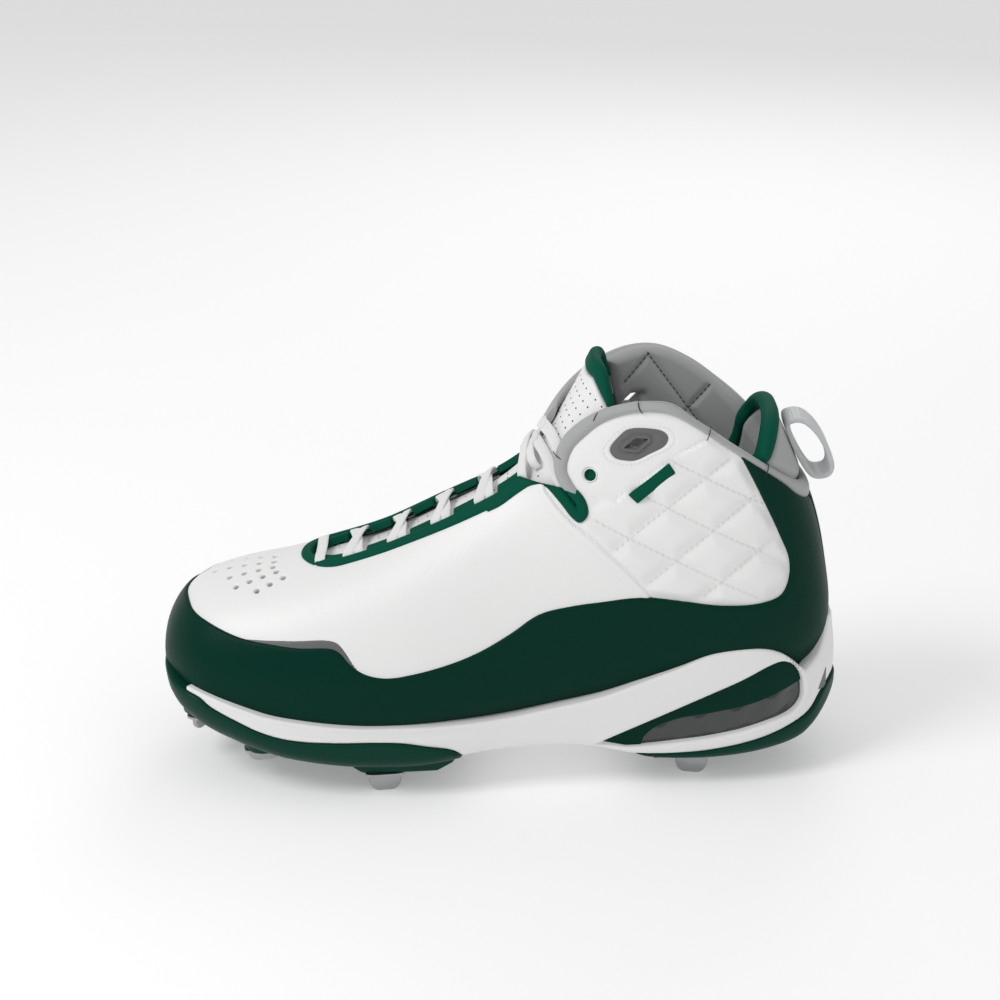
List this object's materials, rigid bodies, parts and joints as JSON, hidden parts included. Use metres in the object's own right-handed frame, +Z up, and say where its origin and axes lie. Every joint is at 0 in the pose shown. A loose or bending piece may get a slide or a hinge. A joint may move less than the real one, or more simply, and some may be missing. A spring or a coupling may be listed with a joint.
{
  "type": "baseball cleat",
  "caption": "High-cut left baseball cleat: hollow leather upper with padded collar, lacing, cupped sole with heel window, and metal blade studs.",
  "frame": {"origin": "under the middle of the shoe, on the ground that the studs stand on", "axes": "+Z up, -X towards the toe, +X towards the heel, -Y towards the outer (lateral) side"},
  "size_m": [0.3066, 0.1054, 0.192],
  "materials": {
    "white_leather": "smooth white leather, satin",
    "green_gloss": "dark green coated leather, glossy",
    "green_piping": "green bound edge, semi-matt",
    "dark_grey_trim": "dark grey moulded trim",
    "light_grey_panel": "light grey leather, satin",
    "grey_lining": "padded mid-grey lining cloth",
    "webbing": "light grey woven webbing",
    "lace": "flat woven white lace",
    "white_midsole": "white moulded foam, satin",
    "smoked_air": "dark smoked air cushion, glossy",
    "green_outsole": "dark green moulded outsole, satin",
    "stud_metal": "plain grey metal"
  },
  "bodies": {
    "root": {"upper": "white_leather", "foxing": "green_gloss", "side_strip": "dark_grey_trim", "toe_panel": "light_grey_panel", "side_tag": "green_piping", "collar": "grey_lining", "heel_tab": "grey_lining", "heel_tab_binding": "green_piping", "pull_loop": "webbing", "tongue": "white_leather", "tongue_binding": "green_piping", "throat_binding": "green_piping", "vent_badge_lateral": "dark_grey_trim", "vent_badge_medial": "dark_grey_trim", "lace_bar": "lace", "lace_cross_1": "lace", "lace_cross_2": "lace", "lace_cross_3": "lace", "lace_cross_4": "lace", "lace_cross_5": "lace", "insole": "grey_lining", "midsole": "white_midsole", "heel_core": "green_gloss", "air_unit": "smoked_air", "forefoot_outsole": "green_outsole", "heel_outsole": "green_outsole", "stud_toe_lateral": "stud_metal", "stud_toe_medial": "stud_metal", "stud_mid_lateral": "stud_metal", "stud_mid_medial": "stud_metal", "stud_ball_lateral": "stud_metal", "stud_ball_medial": "stud_metal", "stud_heel_lateral": "stud_metal", "stud_heel_medial": "stud_metal"}
  },
  "joints": []
}
